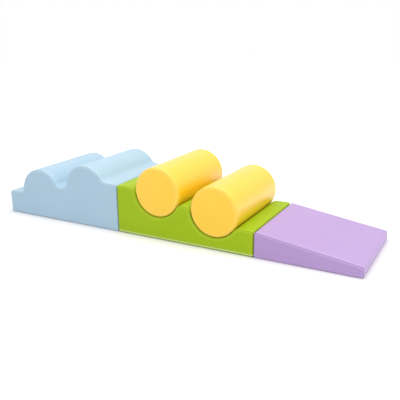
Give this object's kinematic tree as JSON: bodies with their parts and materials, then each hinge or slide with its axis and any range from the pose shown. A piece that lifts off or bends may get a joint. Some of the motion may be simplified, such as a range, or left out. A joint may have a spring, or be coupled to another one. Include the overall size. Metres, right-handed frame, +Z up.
{
  "type": "soft play foam climber",
  "caption": "Low toddler climbing run of covered foam: a wave block, a cradle block with loose rollers lying in its troughs, and a ramp, standing in line.",
  "frame": {"origin": "on the floor, at the middle of the run's length and width", "axes": "+X along the run from the low step of the wave block to the thin end of the ramp, +Y to the back, +Z up"},
  "size_m": [2.4094, 0.6, 0.4365],
  "materials": {
    "blue_cover": "smooth matt leathercloth",
    "green_cover": "smooth matt leathercloth",
    "yellow_cover": "smooth matt leathercloth",
    "lilac_cover": "smooth matt leathercloth",
    "base_cloth": "anti-slip coated cloth",
    "foam": "open-cell polyurethane foam, cut surface",
    "zip_nylon": "woven tape and coil",
    "slider_metal": "satin",
    "hook_tape": "hook tape",
    "loop_tape": "loop tape"
  },
  "bodies": {
    "cradle": {"cradle_foam_high": "foam", "cradle_foam_ridge": "foam", "cradle_foam_low": "foam", "cradle_wrap_panel": "green_cover", "cradle_front_panel": "green_cover", "cradle_back_panel": "green_cover", "cradle_base_panel": "base_cloth", "cradle_zip_tape": "zip_nylon", "cradle_loop_strip": "loop_tape", "cradle_hook_strip": "hook_tape"},
    "wave_block": {"wave_foam_core": "foam", "wave_wrap_panel": "blue_cover", "wave_front_panel": "blue_cover", "wave_back_panel": "blue_cover", "wave_base_panel": "base_cloth", "wave_zip_tape": "zip_nylon", "wave_hook_strip": "hook_tape"},
    "ramp": {"ramp_foam_core": "foam", "ramp_wrap_panel": "lilac_cover", "ramp_front_panel": "lilac_cover", "ramp_back_panel": "lilac_cover", "ramp_base_panel": "base_cloth", "ramp_zip_tape": "zip_nylon", "ramp_loop_strip": "loop_tape"},
    "upper_roller": {"upper_roller_foam_core": "foam", "upper_roller_wrap_panel": "yellow_cover", "upper_roller_front_cap": "yellow_cover", "upper_roller_back_cap": "yellow_cover", "upper_roller_zip_tape": "zip_nylon"},
    "lower_roller": {"lower_roller_foam_core": "foam", "lower_roller_wrap_panel": "yellow_cover", "lower_roller_front_cap": "yellow_cover", "lower_roller_back_cap": "yellow_cover", "lower_roller_zip_tape": "zip_nylon"},
    "wave_slider": {"wave_zip_slider": "slider_metal"},
    "cradle_slider": {"cradle_zip_slider": "slider_metal"},
    "ramp_slider": {"ramp_zip_slider": "slider_metal"},
    "upper_roller_slider": {"upper_roller_zip_slider": "slider_metal"},
    "lower_roller_slider": {"lower_roller_zip_slider": "slider_metal"}
  },
  "joints": [
    {"name": "wave_block_pull_apart", "type": "slide", "parent": "cradle", "child": "wave_block", "axis": [-1, 0, 0], "range_m": [0, 0.3]},
    {"name": "ramp_pull_apart", "type": "slide", "parent": "cradle", "child": "ramp", "axis": [1, 0, 0], "range_m": [0, 0.3]},
    {"name": "upper_roller_turn", "type": "hinge", "parent": "cradle", "child": "upper_roller", "pos_m": [-0.019, 0, 0.28689], "axis": [0, 1, 0], "continuous": true},
    {"name": "lower_roller_turn", "type": "hinge", "parent": "cradle", "child": "lower_roller", "pos_m": [0.356, 0, 0.22189], "axis": [0, 1, 0], "continuous": true},
    {"name": "wave_zip", "type": "slide", "parent": "wave_block", "child": "wave_slider", "axis": [-1, 0, 0], "range_m": [0, 0.6848]},
    {"name": "cradle_zip", "type": "slide", "parent": "cradle", "child": "cradle_slider", "axis": [-1, 0, 0], "range_m": [0, 0.6848]},
    {"name": "ramp_zip", "type": "slide", "parent": "ramp", "child": "ramp_slider", "axis": [-1, 0, 0], "range_m": [0, 0.4248]},
    {"name": "upper_roller_zip", "type": "slide", "parent": "upper_roller", "child": "upper_roller_slider", "axis": [0, -1, 0], "range_m": [0, 0.4648]},
    {"name": "lower_roller_zip", "type": "slide", "parent": "lower_roller", "child": "lower_roller_slider", "axis": [0, -1, 0], "range_m": [0, 0.4648]}
  ]
}
